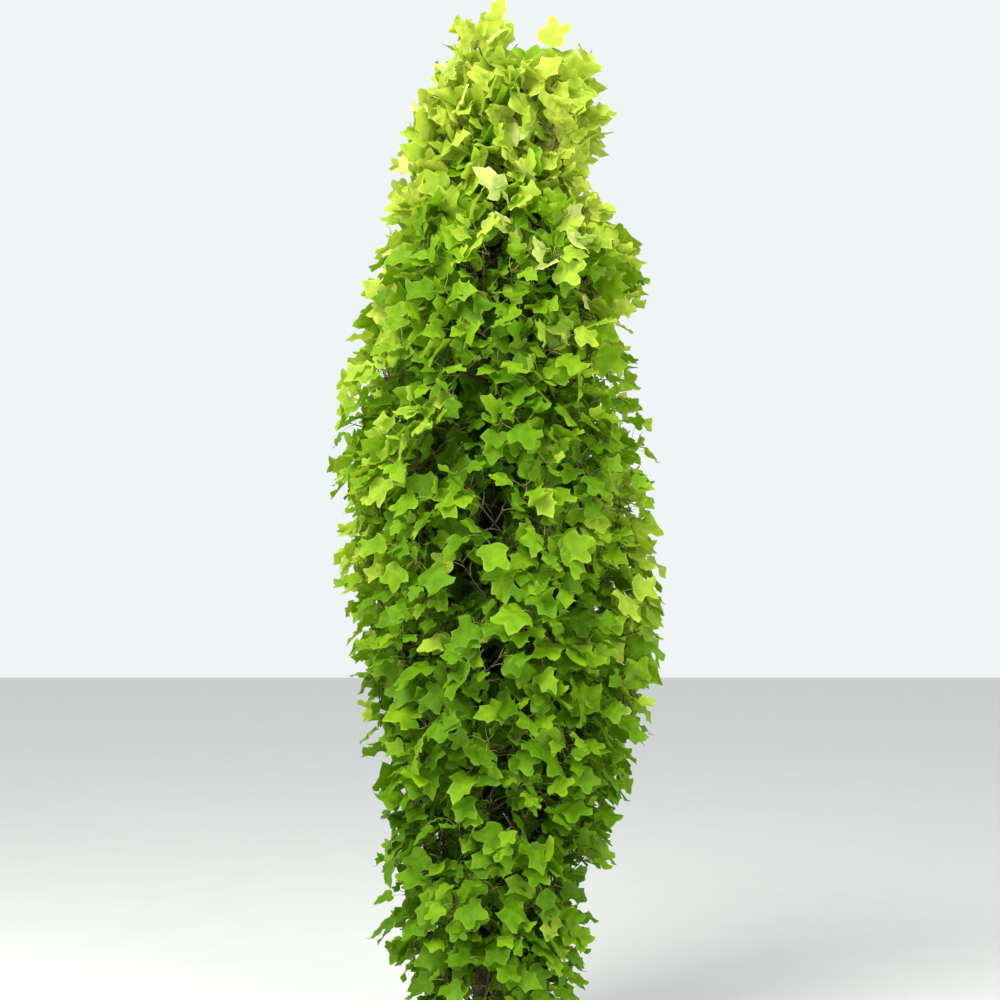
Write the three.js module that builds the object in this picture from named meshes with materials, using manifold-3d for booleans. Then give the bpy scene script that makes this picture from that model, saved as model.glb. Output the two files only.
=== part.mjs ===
// A columnar tulip tree, rooted in the ground.
//
// Millimetres, +Z up. The origin is the middle of the flat cut under the trunk, at ground level.
// +X is to the right, and -Y is towards a viewer who stands in front.
//
// One trunk runs up through the crown. Boughs leave it in a spiral and rise steeply. Each ends in a
// mass of foliage: one stem, twigs that run from the stem out to sites near the crown's outline,
// and four-lobed leaves. The masses share the crown between them, and one more stands on the trunk.
// A mass's stem and twigs stay inside its borders. Its leaves may hang a little way over them, where
// they stand clear of every other mass.

import * as THREE from "three";
import Module from "manifold-3d";

const wasm = await Module();
wasm.setup();
const { Manifold, Mesh } = wasm;

// The whole tree
const TREE_HEIGHT = 4100;
const FIT_GAP = 0.3; // clearance where one piece stands on another
const GOLDEN_TURN = Math.PI * (3 - Math.sqrt(5)); // turn from each bough or twig to the next

// Trunk: leans right from its foot, and bows back towards its tip
const TRUNK_TOP = 3330;
const TRUNK_FOOT_RADIUS = 39;
const TRUNK_TOP_RADIUS = 9;
const TRUNK_TAPER = 1.2;
const TRUNK_SIDES = 15;
const TRUNK_RINGS = 13;
const RING_SPACING_POWER = 2.2; // rings lie closer together near the foot
const BOW_REACH = 76;
const BOW_HEIGHT = 2300;
const SWAY_REACH = 9;
const SWAY_HEIGHT = 520; // height in which the sway turns by one radian
const FLARE_REACH = 27;
const FLARE_HEIGHT = 62;
const FLARE_LOBES = 5;

// Crown: how far the leaf tips reach from its middle line, to the left and to the right
const CROWN_X = 74;
const CROWN_OUTLINE = [
  { height: 150, left: 250, right: 240 },
  { height: 300, left: 400, right: 355 },
  { height: 480, left: 495, right: 400 },
  { height: 640, left: 470, right: 350 },
  { height: 780, left: 470, right: 480 },
  { height: 1000, left: 480, right: 520 },
  { height: 1360, left: 580, right: 630 },
  { height: 1780, left: 622, right: 655 },
  { height: 2340, left: 651, right: 620 },
  { height: 2730, left: 608, right: 562 },
  { height: 2930, left: 550, right: 565 },
  { height: 3120, left: 465, right: 628 },
  { height: 3220, left: 448, right: 560 },
  { height: 3400, left: 412, right: 365 },
  { height: 3600, left: 420, right: 468 },
  { height: 3705, left: 345, right: 480 },
  { height: 3840, left: 250, right: 425 },
  { height: 4000, left: 190, right: 300 },
];
const CROWN_FOOT = 130; // no leaf hangs lower

// Boughs and the masses that they carry
const BOUGH_AREA = 700000; // share of the crown's outer surface for each bough
const FIRST_BOUGH_TURN = 0.9;
const LOWEST_MASS = 400;
const HIGHEST_MASS = 3560;
const MASS_REACH = 0.6; // distance of a mass's middle from the crown's middle line, as a share of the reach
const LONGEST_RISE = 720; // from a bough's foot to the middle of its mass
const RISE_SHARE = 0.5; // low boughs rise by this share of their mass's height
const BOUGH_TIP_DROP = 0.34; // a bough's tip lies lower than the middle of its mass by this share of the rise
const BOUGH_TIP_REACH = 0.4;
const BOUGH_BEND = { across: 0.55, up: 0.36 }; // where the bough turns upwards, as shares of its run
const BOUGH_RADIUS = 15;
const BOUGH_TO_TRUNK = 0.6; // a bough is never thicker than this share of the trunk
const BOUGH_TIP_SHARE = 0.62;
const BOUGH_SIDES = 5;
const BOUGH_RINGS = 4;
const STEM_RISE = 300; // from the middle of a mass to the top of its stem
const STEM_TOP_REACH = 0.66;
const STEM_BEND = 0.45;
const STEM_TOP_RADIUS = 7;
const STEM_SIDES = 4;
const STEM_RINGS = 2;
const STEM_ROOM = 14; // from the stem's middle line to the borders of its mass
const LEADER_STEM_TOP = 3900;
const LEADER_CLEARANCE = 0.64; // its slanting foot leaves the fit gap at its lowest corner
const TOP_MASS_MIDDLE = 3830;
const CELL_STRETCH = new THREE.Vector3(1, 1, 0.56); // masses stand taller than wide

// Twigs, one for each leafy site
const SITE_AREA = 134000;
const LOWEST_SITE = 230;
const HIGHEST_SITE = 3860;
const SITE_DEPTHS = [0.84, 0.95, 1]; // shares of the crown's reach that the sites take in turn
const SITE_ROOM = 45; // from a twig's tip to the borders of its mass
const FARTHEST_MOVE = 0.3; // of a twig's tip at a time, as a share of the reach
const FOOT_SHARES = { first: 0.06, last: 0.98, step: 0.04 }; // places for twigs along the stem
const TWIG_ROOM = 8;
const TWIG_RISE = 0.9; // height gained for each length outwards
const TWIG_RADIUS = 4.5;
const TWIG_SIDES = 3;

// The two shoots at the top, with their leaves turned towards the front
const TOP_SHOOTS = [
  { x: 14, top: TREE_HEIGHT, turn: -1.6 },
  { x: 300, top: 4044, turn: -1.2 },
];
const SHOOT_LEAF_LENGTH = 140;
const SHOOT_REACH = 120;
const SHOULDER_HEIGHT = 3890; // only the shoots rise above it

// Leaves: half the outline, across and along, as shares of the leaf's length
const LEAF_LENGTH = 300;
const LEAF_THICKNESS = 4.5;
const STALK_THICKNESS = 2;
const STALK_END = [0.03, 0.22];
const LOWER_LOBE = [0.5, 0.38];
const SINUS = [0.3, 0.63];
const UPPER_LOBE = [0.36, 1];
const NOTCH = [0, 0.88];
const RIDGE = [0, 0.5]; // the thickest point of the blade
const TWIG_LEAF_SITES = [1, 0.9, 0.8, 0.68, 0.54]; // along the twig
const STEM_LEAF_SITES = [0.985, 0.8, 0.62, 0.44, 0.26]; // along the stem
const STEM_LEAF_LENGTH = 330;
const LEAF_INSET = 6; // the last leaf's root lies this far inside the twig's tip
const TIP_LEAF_TILT = [0.3, 0.8]; // how steeply leaves point outwards
const LEAF_TILT = [-0.1, 0.45];
const LEAF_SPREAD = 0.5;
const SIDEWAYS = 1.1; // how far leaves face to the side, for each share outwards
const UPWARDS = [0.1, 0.8];
const LEAF_SIZES = [0.85, 1.1];
const UPRIGHT_FROM = 2700; // leaves point upwards more and more from here to the top
const OVERHANG = 150; // how far a leaf may hang over the borders of its mass
const LEAF_CLEARANCE = 1.5; // between a leaf and the limbs and masses that it isn't part of
const LEAF_TRIES = 30;
const SMALLEST_LEAF = 0.68; // size of the last try, as a share of the first
const JOINT_FACES = 36; // a leaf that adds more than these to its twig cuts it twice
const SMOOTHING = 0.05; // largest change of shape when needless corners are dropped
const SEED_STEP = 1000; // from one mass to the next
const TWIG_SEED_STEP = 20;
const TRY_SEED_STEP = 100000;

/** Random numbers from 0 to 1 that are the same on every run. */
function dice(seed) {
  let state = Math.imul(seed + 1, 2654435761) >>> 0;
  return (low = 0, high = 1) => {
    state = (Math.imul(state, 1664525) + 1013904223) >>> 0;
    return low + (high - low) * (state / 2 ** 32);
  };
}

const mix = (a, b, share) => a + (b - a) * share;
const clamp = (value, low, high) => Math.min(Math.max(value, low), high);
const UP = new THREE.Vector3(0, 0, 1);

function trunkRadius(z) {
  return TRUNK_TOP_RADIUS + (TRUNK_FOOT_RADIUS - TRUNK_TOP_RADIUS) * (1 - z / TRUNK_TOP) ** TRUNK_TAPER;
}

function trunkMiddle(z) {
  const x = BOW_REACH * (1 - (1 - z / BOW_HEIGHT) ** 2);
  return new THREE.Vector3(x, SWAY_REACH * Math.sin(z / SWAY_HEIGHT), z);
}

/** How far the crown reaches at a height, in the direction of a turn about its middle line. */
function crownReach(z, turn) {
  const top = CROWN_OUTLINE.findIndex((row) => row.height >= z);
  const k = top < 0 ? CROWN_OUTLINE.length - 1 : Math.max(top, 1);
  const [below, above] = [CROWN_OUTLINE[k - 1], CROWN_OUTLINE[k]];
  const share = clamp((z - below.height) / (above.height - below.height), 0, 1);
  const left = mix(below.left, above.left, share);
  const right = mix(below.right, above.right, share);
  return mix(left, right, (1 + Math.cos(turn)) / 2);
}

/** The point at a share of the crown's reach. */
function crownPoint(z, turn, share) {
  const out = crownReach(z, turn) * share;
  return new THREE.Vector3(CROWN_X + out * Math.cos(turn), out * Math.sin(turn), z);
}

/** The level direction of a turn. */
function outwards(turn) {
  return new THREE.Vector3(Math.cos(turn), Math.sin(turn), 0);
}

/** Heights from low to high, each with a turn, spread so that each has the same area of the crown. */
function spiral(low, high, area, firstTurn) {
  const found = [];
  for (let z = low; z < high; ) {
    found.push({ z, turn: firstTurn + found.length * GOLDEN_TURN });
    z += area / (2 * Math.PI * crownReach(z, Math.PI / 2));
  }
  return found;
}

/** A solid with rings of corners joined by faces, and flat ends. */
function loft(rings) {
  const sides = rings[0].length;
  const faces = [];
  rings.slice(1).forEach((_, k) => {
    for (let i = 0; i < sides; i++) {
      const [a, b] = [k * sides + i, k * sides + ((i + 1) % sides)];
      faces.push([a, b, b + sides], [a, b + sides, a + sides]);
    }
  });
  const last = (rings.length - 1) * sides;
  for (let i = 1; i < sides - 1; i++) {
    faces.push([0, i + 1, i], [last, last + i, last + i + 1]);
  }
  return solid(rings.flat(), faces);
}

function solid(corners, faces) {
  const vertProperties = new Float32Array(corners.flatMap((p) => p.toArray()));
  return new Manifold(new Mesh({ numProp: 3, vertProperties, triVerts: new Uint32Array(faces.flat()) }));
}

/** A tapering limb round a curve. */
function limb(curve, rootRadius, tipRadius, sides, steps) {
  const { normals, binormals } = curve.computeFrenetFrames(steps, false);
  const rings = normals.map((normal, k) => {
    const radius = mix(rootRadius, tipRadius, k / steps);
    const middle = curve.getPointAt(k / steps);
    return Array.from({ length: sides }, (_, i) => {
      const turn = (2 * Math.PI * i) / sides;
      return middle
        .clone()
        .addScaledVector(normal, radius * Math.cos(turn))
        .addScaledVector(binormals[k], radius * Math.sin(turn));
    });
  });
  const made = loft(rings);
  return made.volume() > 0 ? made : loft(rings.map((ring) => ring.reverse()));
}

/** The trunk from its flat foot to its tip. grown widens it evenly, to cut what must stand clear of it. */
function trunkSolid(grown = 0) {
  const rings = [];
  for (let k = 0; k <= TRUNK_RINGS; k++) {
    const z = TRUNK_TOP * (k / TRUNK_RINGS) ** RING_SPACING_POWER;
    const ring = [];
    for (let i = 0; i < TRUNK_SIDES; i++) {
      const turn = (2 * Math.PI * i) / TRUNK_SIDES;
      const lobes = 0.6 + 0.4 * Math.cos(FLARE_LOBES * turn);
      const flare = FLARE_REACH * Math.exp(-z / FLARE_HEIGHT) * lobes;
      const radius = trunkRadius(z) + flare + grown;
      const out = new THREE.Vector3(radius * Math.cos(turn), radius * Math.sin(turn), 0);
      ring.push(trunkMiddle(z).add(out));
    }
    rings.push(ring);
  }
  return loft(rings);
}

/** The borders of a mass's own space: halfway to the middle of each other mass. */
function bordersOf(middle, middles) {
  return middles
    .filter((other) => other !== middle)
    .map((other) => {
      const inward = middle.clone().sub(other).multiply(CELL_STRETCH).normalize();
      const halfway = middle.clone().lerp(other, 0.5);
      return new THREE.Plane().setFromNormalAndCoplanarPoint(inward, halfway);
    });
}

/** Whether all points keep at least some room from the borders. */
function keepsInside(points, borders, room) {
  return borders.every((border) => points.every((point) => border.distanceToPoint(point) > room));
}

/** A point moved the least way that gives it room inside the borders. */
function moveInside(point, borders, room) {
  const at = point.clone();
  for (let pass = 0; pass < 6; pass++) {
    borders.forEach((border) => {
      const missing = room - border.distanceToPoint(at);
      if (missing > 0) at.addScaledVector(border.normal, missing);
    });
  }
  return at;
}

/** A bough's curve, from the middle of the trunk to its tip, and the curve of the stem after it. */
function boughLine({ z, turn }, borders) {
  const rise = Math.min(LONGEST_RISE, RISE_SHARE * z);
  const foot = trunkMiddle(z - rise);
  const tip = moveInside(crownPoint(z - BOUGH_TIP_DROP * rise, turn, BOUGH_TIP_REACH), borders, STEM_ROOM);
  const bend = foot.clone().lerp(tip, BOUGH_BEND.across).setZ(mix(foot.z, tip.z, BOUGH_BEND.up));
  const bough = new THREE.QuadraticBezierCurve3(foot, bend, tip);
  const heading = tip.clone().sub(bend).normalize();
  const top = moveInside(crownPoint(z + STEM_RISE, turn, STEM_TOP_REACH), borders, STEM_ROOM);
  const stemFoot = tip.clone().addScaledVector(heading, FIT_GAP);
  const stemBend = stemFoot.clone().addScaledVector(heading, STEM_BEND * top.distanceTo(tip));
  const stem = new THREE.QuadraticBezierCurve3(stemFoot, moveInside(stemBend, borders, STEM_ROOM), top);
  const radius = Math.min(BOUGH_RADIUS, BOUGH_TO_TRUNK * trunkRadius(foot.z));
  const tipRadius = BOUGH_TIP_SHARE * radius;
  return { out: outwards(turn), bough, stem, radius, tipRadius };
}

/** The stem that carries the trunk on, up to the leader. */
function leaderLine() {
  const foot = trunkMiddle(TRUNK_TOP + LEADER_CLEARANCE);
  const top = trunkMiddle(LEADER_STEM_TOP);
  const bend = trunkMiddle((TRUNK_TOP + LEADER_STEM_TOP) / 2);
  const stem = new THREE.QuadraticBezierCurve3(foot, bend, top);
  return { out: outwards(TOP_SHOOTS[0].turn), stem, tipRadius: TRUNK_TOP_RADIUS };
}

/** A leaf's corners: root, right half, notch, left half, then the root's top and the ridge. */
function leafCorners(root, along, facing, length) {
  const across = along.clone().cross(facing);
  const at = ([x, y], lift = 0) =>
    root
      .clone()
      .addScaledVector(across, x * length)
      .addScaledVector(along, y * length)
      .addScaledVector(facing, lift);
  const half = [STALK_END, LOWER_LOBE, SINUS, UPPER_LOBE];
  const mirrored = half.map(([x, y]) => [-x, y]).reverse();
  const low = -STALK_THICKNESS / 2;
  return [
    at([0, 0], low),
    ...[...half, NOTCH, ...mirrored].map((point) => at(point)),
    at([0, 0], -low),
    at(RIDGE, LEAF_THICKNESS + low),
  ];
}

const LEAF_FACES = [
  [0, 9, 1], [1, 9, 3], [1, 3, 2], [9, 8, 7], [9, 7, 3], [3, 7, 5], [3, 5, 4], [7, 6, 5], // underside
  [11, 1, 2], [11, 2, 3], [11, 3, 4], [11, 4, 5], // right half of the upper side
  [11, 5, 6], [11, 6, 7], [11, 7, 8], [11, 8, 9], // left half
  [11, 9, 10], [11, 10, 1], [0, 1, 10], [0, 10, 9], // upper side and sides of the stalk
];

/** The largest share of the crown's reach that any of the points takes up. */
function reachTaken(points) {
  return Math.max(
    ...points.map((p) => {
      const turn = Math.atan2(p.y, p.x - CROWN_X);
      return Math.hypot(p.x - CROWN_X, p.y) / crownReach(p.z, turn);
    }),
  );
}

/** Whether all points lie within the crown, whose two shoots alone rise above its shoulders. */
function keepsToCrown(points) {
  return points.every((p) => {
    if (p.z < SHOULDER_HEIGHT) return p.z > CROWN_FOOT && reachTaken([p]) < 1.01;
    return TOP_SHOOTS.some(({ x, top }) => Math.hypot(p.x - x, p.y) < SHOOT_REACH && p.z < top + FIT_GAP);
  });
}

/** Places on the stem where the twig to a tip can leave it, the best one first. */
function twigFeet(mass, tip) {
  const feet = [];
  for (let share = FOOT_SHARES.first; share <= FOOT_SHARES.last; share += FOOT_SHARES.step) {
    const point = mass.stem.getPointAt(share);
    if (!keepsInside([point], mass.borders, TWIG_ROOM)) continue;
    const out = Math.hypot(tip.x - point.x, tip.y - point.y);
    feet.push({ point, share, miss: Math.abs(point.z + TWIG_RISE * out - tip.z) });
  }
  return feet.sort((a, b) => a.miss - b.miss);
}

/** Where the leaves of a twig are rooted, from its tip down. */
function twigRoots(foot, tip) {
  const inset = LEAF_INSET / foot.distanceTo(tip);
  return TWIG_LEAF_SITES.map((share) => foot.clone().lerp(tip, share - inset));
}

/** The leaf that a roll of the dice gives at one place on a shoot. */
function leafAt({ roots, out, spread, length }, k, roll) {
  const side = UP.clone().cross(out);
  const turn = spread + k * GOLDEN_TURN + roll(-LEAF_SPREAD, LEAF_SPREAD);
  const tilt = roll(...(k === 0 ? TIP_LEAF_TILT : LEAF_TILT));
  const along = new THREE.Vector3()
    .addScaledVector(side, Math.cos(turn) * Math.cos(tilt))
    .addScaledVector(UP, Math.sin(turn) * Math.cos(tilt))
    .addScaledVector(out, Math.sin(tilt));
  const facing = out
    .clone()
    .addScaledVector(side, roll(-SIDEWAYS, SIDEWAYS))
    .addScaledVector(UP, roll(...UPWARDS));
  facing.addScaledVector(along, -facing.dot(along)).normalize();
  return leafCorners(roots[k], along, facing, length * roll(...LEAF_SIZES));
}

/** The plan of a twig whose outermost leaf just reaches its site. */
function twigPlan(site, mass, seed) {
  const roll = dice(seed);
  const upright = clamp((site.at.z - UPRIGHT_FROM) / (TREE_HEIGHT - UPRIGHT_FROM), 0, 1);
  const spread = site.top ? Math.PI / 2 : mix(roll(0, 2 * Math.PI), Math.PI / 2 + roll(-1, 1), upright);
  const out = outwards(site.turn);
  const length = site.top ? SHOOT_LEAF_LENGTH : LEAF_LENGTH;
  const tip = site.at.clone();
  for (let pass = 0; pass < 5; pass++) {
    const roots = twigRoots(twigFeet(mass, tip)[0].point, tip);
    const corners = leafAt({ roots, out, spread, length }, 0, dice(seed));
    if (site.top) {
      tip.z += site.top - Math.max(...corners.map((p) => p.z));
    } else {
      const short = clamp(site.depth - reachTaken(corners), -FARTHEST_MOVE, FARTHEST_MOVE);
      tip.addScaledVector(out, short * crownReach(tip.z, site.turn));
      tip.copy(moveInside(tip, mass.borders, SITE_ROOM));
    }
  }
  return { tip, top: site.top, out, spread, length, seed, mass };
}

const standsClear = (shape, other) => shape.minGap(other, 2 * LEAF_CLEARANCE) > LEAF_CLEARANCE;

/** The shoots of a mass, which bear its leaves: a twig to each site, and the stem itself. */
function shootsOf(mass, index, limbs) {
  const shoots = [];
  const taken = new Set();
  mass.sites.forEach((site, k) => {
    const plan = twigPlan(site, mass, SEED_STEP * index + TWIG_SEED_STEP * k);
    twigFeet(mass, plan.tip).some(({ point: foot, share }) => {
      if (taken.has(share)) return false;
      const wood = limb(new THREE.LineCurve3(foot, plan.tip), TWIG_RADIUS, TWIG_RADIUS, TWIG_SIDES, 1);
      if (!standsClear(wood, limbs)) return false;
      taken.add(share);
      shoots.push({ ...plan, wood, roots: twigRoots(foot, plan.tip), leaves: 0 });
      return true;
    });
  });
  const roots = STEM_LEAF_SITES.map((share) => mass.stem.getPointAt(share));
  const seed = SEED_STEP * index + SEED_STEP / 2;
  const stemPlan = { out: mass.out, spread: Math.PI / 2, length: STEM_LEAF_LENGTH, seed, mass };
  shoots.push({ ...stemPlan, wood: mass.stemSolid, roots, leaves: 0 });
  return shoots;
}

function boxesMeet(a, b) {
  const near = (k) => a.min[k] < b.max[k] + LEAF_CLEARANCE && b.min[k] < a.max[k] + LEAF_CLEARANCE;
  return [0, 1, 2].every(near);
}

/** Whether a leaf crosses nothing in its own mass but its twig, and stands clear of other masses. */
function findsRoom(leaf, shoot, pieces) {
  const box = leaf.boundingBox();
  return pieces.every((piece) => {
    if (piece.shape === shoot.wood || !boxesMeet(box, piece.box)) return true;
    if (piece.mass === shoot.mass) return leaf.intersect(piece.shape).isEmpty();
    return standsClear(leaf, piece.shape);
  });
}

/** A leaf at one place on a shoot, where it finds room. The leaf at a tip looks for the farthest place. */
function growLeaf(shoot, k, limbs, pieces) {
  let best = null;
  for (let attempt = 0; attempt < LEAF_TRIES; attempt++) {
    const roll = dice(shoot.seed + k + TRY_SEED_STEP * attempt);
    const length = shoot.length * mix(1, SMALLEST_LEAF, attempt / LEAF_TRIES);
    const spread = shoot.spread + attempt * GOLDEN_TURN;
    const corners = leafAt({ ...shoot, length, spread }, k, roll);
    if (!keepsToCrown(corners) || !keepsInside(corners, shoot.mass.borders, -OVERHANG)) continue;
    const leaf = solid(corners, LEAF_FACES);
    if (!standsClear(leaf, limbs) || !findsRoom(leaf, shoot, pieces)) continue;
    const joined = leaf.add(shoot.wood).numTri() - shoot.wood.numTri();
    if (joined > JOINT_FACES) continue;
    const reach = shoot.top ? Math.max(...corners.map((p) => p.z)) : reachTaken(corners);
    if (!best || reach > best.reach) best = { leaf, reach };
    if (k > 0) break;
  }
  return best && best.leaf;
}

/** Leaves for all shoots, a round at a time, so that no mass takes the room of another. */
function growLeaves(shoots, limbs) {
  const pieceOf = (shape, shoot) => ({ shape, shoot, mass: shoot.mass, box: shape.boundingBox() });
  const pieces = shoots.map((shoot) => pieceOf(shoot.wood, shoot));
  for (let k = 0; k < TWIG_LEAF_SITES.length; k++) {
    shoots.forEach((shoot) => {
      const leaf = growLeaf(shoot, k, limbs, pieces);
      if (!leaf) return;
      shoot.leaves += 1;
      pieces.push(pieceOf(leaf, shoot));
    });
  }
  return pieces;
}

/** The largest piece of a shape: loose scraps and sealed hollows are dropped. */
function largestPiece(shape) {
  return shape.decompose().reduce((a, b) => (b.volume() > a.volume() ? b : a));
}

/** A solid as a named mesh. */
function named(name, shape, material) {
  const { numProp, vertProperties, triVerts } = shape.getMesh();
  const geometry = new THREE.BufferGeometry();
  geometry.setAttribute("position", new THREE.BufferAttribute(vertProperties, numProp));
  geometry.setIndex(new THREE.BufferAttribute(triVerts, 1));
  geometry.computeVertexNormals();
  const mesh = new THREE.Mesh(geometry, material);
  mesh.name = name;
  return mesh;
}

const bark = new THREE.MeshStandardMaterial({ color: 0x5a4a38, roughness: 0.85, metalness: 0 });
const foliage = new THREE.MeshStandardMaterial({ color: 0x6fa51f, roughness: 0.5, metalness: 0 });

const tree = new THREE.Group();
const trunk = trunkSolid();
tree.add(named("trunk", trunk, bark));

const places = spiral(LOWEST_MASS, HIGHEST_MASS, BOUGH_AREA, FIRST_BOUGH_TURN);
const middles = places.map(({ z, turn }) => crownPoint(z, turn, MASS_REACH));
middles.push(new THREE.Vector3(CROWN_X, 0, TOP_MASS_MIDDLE));
const masses = middles.map((middle, k) => {
  const borders = bordersOf(middle, middles);
  const line = k < places.length ? boughLine(places[k], borders) : leaderLine();
  const stemSolid = limb(line.stem, line.tipRadius, STEM_TOP_RADIUS, STEM_SIDES, STEM_RINGS);
  return { borders, ...line, stemSolid, sites: [] };
});

const numbered = (kind, k) => `${kind}_${String(k + 1).padStart(2, "0")}`;
const trunkWithGap = trunkSolid(1.05 * FIT_GAP);
const boughs = places.map((_, k) => {
  const { bough, radius, tipRadius } = masses[k];
  return largestPiece(limb(bough, radius, tipRadius, BOUGH_SIDES, BOUGH_RINGS).subtract(trunkWithGap));
});
boughs.forEach((bough, k) => tree.add(named(numbered("bough", k), bough, bark)));

masses.at(-1).sites = TOP_SHOOTS.map(({ x, top, turn }) => ({ at: new THREE.Vector3(x, 0, top), top, turn }));
spiral(LOWEST_SITE, HIGHEST_SITE, SITE_AREA, 0).forEach(({ z, turn }, k) => {
  const depth = SITE_DEPTHS[k % SITE_DEPTHS.length];
  const at = crownPoint(z, turn, 0.8 * depth);
  masses.find(({ borders }) => keepsInside([at], borders, 0)).sites.push({ at, turn, depth });
});

const limbs = Manifold.union([trunk, ...boughs]);
const shoots = masses.flatMap((mass, k) => {
  const others = masses.filter((other) => other !== mass).map(({ stemSolid }) => stemSolid);
  return shootsOf(mass, k, Manifold.union([limbs, ...others]));
});
const kept = ({ shoot }) => shoot.leaves > 0 || shoot.wood === shoot.mass.stemSolid;
const pieces = growLeaves(shoots.reverse(), limbs).filter(kept);
masses.forEach((mass, k) => {
  const own = pieces.filter((piece) => piece.mass === mass).map(({ shape }) => shape);
  const whole = largestPiece(Manifold.union(own).simplify(SMOOTHING));
  tree.add(named(k < places.length ? numbered("foliage", k) : "foliage_top", whole, foliage));
});

export default tree;
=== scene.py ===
# A columnar tulip tree in full leaf, rooted in the ground.
#
# Metres, +Z up. The origin is the middle of the flat cut under the trunk, and -Y is towards the viewer.
# Trunk, boughs and stems stand where the frame has them. The first twigs grow to the frame's sites,
# but end further in behind and in front from 2.9 m up. Finer twigs grow on from them by the same rule,
# and bear leaves of about their real size.

from collections import namedtuple
from math import atan2, cos, exp, hypot, pi, radians, sin, sqrt

import bpy
import numpy as np
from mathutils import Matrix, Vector, noise


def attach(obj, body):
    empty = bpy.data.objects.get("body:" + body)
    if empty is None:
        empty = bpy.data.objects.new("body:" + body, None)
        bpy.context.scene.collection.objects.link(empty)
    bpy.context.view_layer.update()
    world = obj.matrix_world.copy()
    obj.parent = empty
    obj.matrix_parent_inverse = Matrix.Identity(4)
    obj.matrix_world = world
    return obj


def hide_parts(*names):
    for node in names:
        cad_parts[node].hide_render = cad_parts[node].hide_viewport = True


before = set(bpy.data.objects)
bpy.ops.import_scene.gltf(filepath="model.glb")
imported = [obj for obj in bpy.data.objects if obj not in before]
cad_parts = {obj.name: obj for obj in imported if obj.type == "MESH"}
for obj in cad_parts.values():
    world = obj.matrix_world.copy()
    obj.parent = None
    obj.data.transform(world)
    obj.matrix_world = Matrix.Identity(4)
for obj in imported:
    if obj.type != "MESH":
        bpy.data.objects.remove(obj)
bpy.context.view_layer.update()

GOLDEN_TURN = pi * (3 - sqrt(5))
UP = Vector((0, 0, 1))

# Trunk
TRUNK_TOP = 3.33
LEADER_TOP = 3.9
FOOT_RADIUS = 0.039
TOP_RADIUS = 0.009
LEADER_TIP_RADIUS = 0.003
TRUNK_TAPER = 1.2
TRUNK_SIDES = 24
TRUNK_RINGS = 44
RING_LEAN = 1.5  # above one, the rings lie closer together towards the foot
BOW_REACH = 0.076
BOW_HEIGHT = 2.3
SWAY_REACH = 0.009
SWAY_HEIGHT = 0.52
FLARE_REACH = 0.027
FLARE_HEIGHT = 0.062
FLARE_LOBES = 5
FLARE_BETWEEN = 0.2  # the share of the flare that lies between its lobes too
LOBE_HEIGHT = 0.012  # a lobe is pulled out by the corners that lie below this height
LOBE_COSINE = 0.97  # and whose angle to its direction has at least this cosine
GROUND_ROOM = 0.0001
BURIED = 0.06  # the trunk is made this much too long, and cut off flat at the ground
BARK_CREASE = radians(40)

# Bark relief: the size of its forms, how fine they get, and how high they are
RIDGES = (0.012, 3, 0.0075)
KNOTS = (0.014, 2, 0.0022)
RIDGE_PRESS = 0.16  # the trunk is pressed this flat while it gets them, which draws them out

# Crown: height, then how far the leaf tips reach to the left and to the right of its middle line
CROWN_X = 0.074
CROWN_OUTLINE = [
    (0.150, 0.250, 0.240),
    (0.300, 0.400, 0.355),
    (0.480, 0.495, 0.400),
    (0.640, 0.470, 0.350),
    (0.780, 0.470, 0.480),
    (1.000, 0.480, 0.520),
    (1.360, 0.580, 0.630),
    (1.780, 0.622, 0.655),
    (2.340, 0.651, 0.620),
    (2.730, 0.608, 0.562),
    (2.930, 0.550, 0.565),
    (3.120, 0.465, 0.628),
    (3.220, 0.448, 0.560),
    (3.400, 0.412, 0.365),
    (3.600, 0.420, 0.468),
    (3.705, 0.345, 0.480),
    (3.840, 0.250, 0.425),
    (4.000, 0.190, 0.300),
]
# How far the foliage reaches behind and in front, as a share of the crown's reach at each height,
# so that the top rounds off evenly
SIDE_DEPTHS = [(2.93, 1.0), (3.12, 0.95), (3.22, 0.96), (3.4, 1.0), (3.6, 0.84), (3.84, 0.76)]
CROWN_FOOT = 0.13
SHOULDER_HEIGHT = 3.89  # only the top shoots rise above it
MOST_REACH = 1.04  # leaf tips reach this share of the outline at most
LOW_SPREAD = 0.07  # the lowest sprays spread this much further
LOW_SPREAD_TOP = 0.6
LOW_SPREAD_STRETCH = 0.3

# Shoots above the shoulders: across, back, the height of the topmost leaf tip, the leaves' size,
# and how many leaves at most
TOP_SHOOTS = [
    (0.010, 0.000, 4.100, 1.35, 7),
    (-0.030, -0.030, 4.045, 1.30, 7),
    (0.020, -0.050, 4.060, 1.30, 7),
    (0.000, -0.090, 4.000, 1.30, 7),
    (-0.030, 0.040, 4.040, 1.15, 7),
    (-0.010, -0.060, 3.930, 1.25, 7),
    (0.205, 0.010, 4.066, 1.15, 1),
    (0.240, -0.020, 3.900, 1.25, 9),
    (0.330, -0.040, 3.940, 1.25, 9),
    (0.440, 0.000, 3.960, 1.10, 6),
]
SHOOT_FOOT_DROP = 0.15  # a shoot leaves the wood that suits a place this much below its top
SHOOT_RISE = 1.5
SHOOT_NEARNESS = 0.3
SHOOT_TIP_DROP = 0.12
SHOOT_ROOM = 0.05  # the least that its twig ends below its topmost leaf tip
SHOOT_CEILING = 0.3  # how much too high its leaves may be while it is fitted
SHOOT_ROUNDS = 4
LONE_LEAF_TURN = 0.4  # the leaf that stands alone on a shoot lies nearly across the view
LONE_LEAF_REACH = 2 * MOST_REACH

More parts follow.
